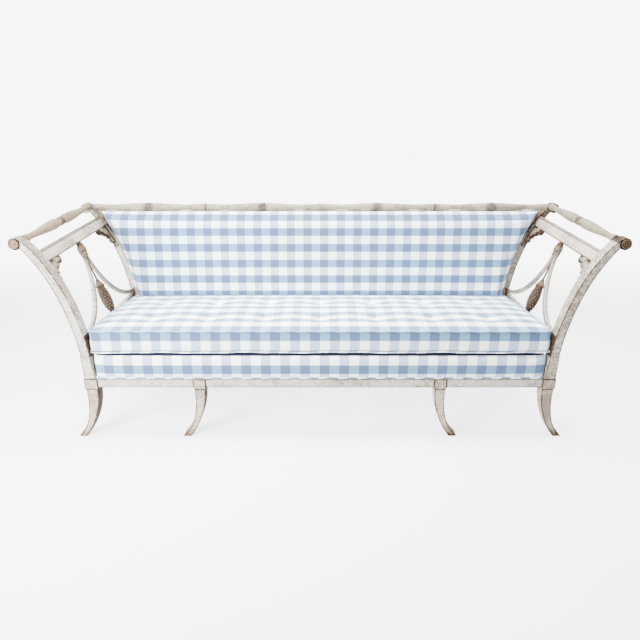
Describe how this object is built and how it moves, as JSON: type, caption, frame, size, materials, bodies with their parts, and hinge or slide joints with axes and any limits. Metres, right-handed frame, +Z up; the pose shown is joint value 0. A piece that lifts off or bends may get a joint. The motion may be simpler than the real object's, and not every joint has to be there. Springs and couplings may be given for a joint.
{
  "type": "gustavian sofa",
  "caption": "Gustavian sofa with a distressed pale-painted frame, flared arms with carved swags and pine cones, turned crest rail and blue gingham upholstery with a loose seat cushion",
  "frame": {"origin": "on the floor under the middle of the frame", "axes": "+X runs along the sofa to the right as seen from the front, +Y from front to back, +Z up"},
  "size_m": [2.2132, 0.675, 0.8407],
  "materials": {
    "painted_wood": "distressed chalky grey-white paint worn to warm wood at edges",
    "bare_wood": "bare planed wood",
    "gingham": "blue and white woven check linen",
    "webbing": "coarse jute"
  },
  "bodies": {
    "frame": {"back_bottom_rail": "bare_wood", "back_left_stile": "bare_wood", "back_muntins": "bare_wood", "back_pad": "gingham", "back_right_stile": "bare_wood", "back_top_rail": "bare_wood", "back_webbing": "webbing", "corner_blocks": "bare_wood", "crest_dowel": "bare_wood", "front_left_leg": "painted_wood", "front_left_middle_leg": "painted_wood", "front_left_post": "painted_wood", "front_right_leg": "painted_wood", "front_right_middle_leg": "painted_wood", "front_right_post": "painted_wood", "front_seat_rail": "painted_wood", "left_arm_board": "painted_wood", "left_arm_knot": "painted_wood", "left_arm_rail": "painted_wood", "left_crest_rail": "painted_wood", "left_cross_rail": "bare_wood", "left_front_spandrel": "painted_wood", "left_front_swag": "painted_wood", "left_lower_arm_bar": "painted_wood", "left_pine_cone": "painted_wood", "left_rear_spandrel": "painted_wood", "left_rear_swag": "painted_wood", "left_side_rail": "painted_wood", "outside_back_cover": "gingham", "post_dowels": "bare_wood", "rear_left_leg": "painted_wood", "rear_left_middle_leg": "painted_wood", "rear_left_post": "painted_wood", "rear_right_leg": "painted_wood", "rear_right_middle_leg": "painted_wood", "rear_right_post": "painted_wood", "rear_seat_rail": "painted_wood", "right_arm_board": "painted_wood", "right_arm_knot": "painted_wood", "right_arm_rail": "painted_wood", "right_crest_rail": "painted_wood", "right_cross_rail": "bare_wood", "right_front_spandrel": "painted_wood", "right_front_swag": "painted_wood", "right_lower_arm_bar": "painted_wood", "right_pine_cone": "painted_wood", "right_rear_spandrel": "painted_wood", "right_rear_swag": "painted_wood", "right_side_rail": "painted_wood", "seat_deck": "gingham", "seat_hessian": "webbing", "seat_webbing": "webbing"},
    "cushion": {"seat_cushion": "gingham"}
  },
  "joints": [
    {"name": "cushion_lift", "type": "slide", "parent": "frame", "child": "cushion", "axis": [0, 0, 1], "range_m": [0, 0.4]}
  ]
}
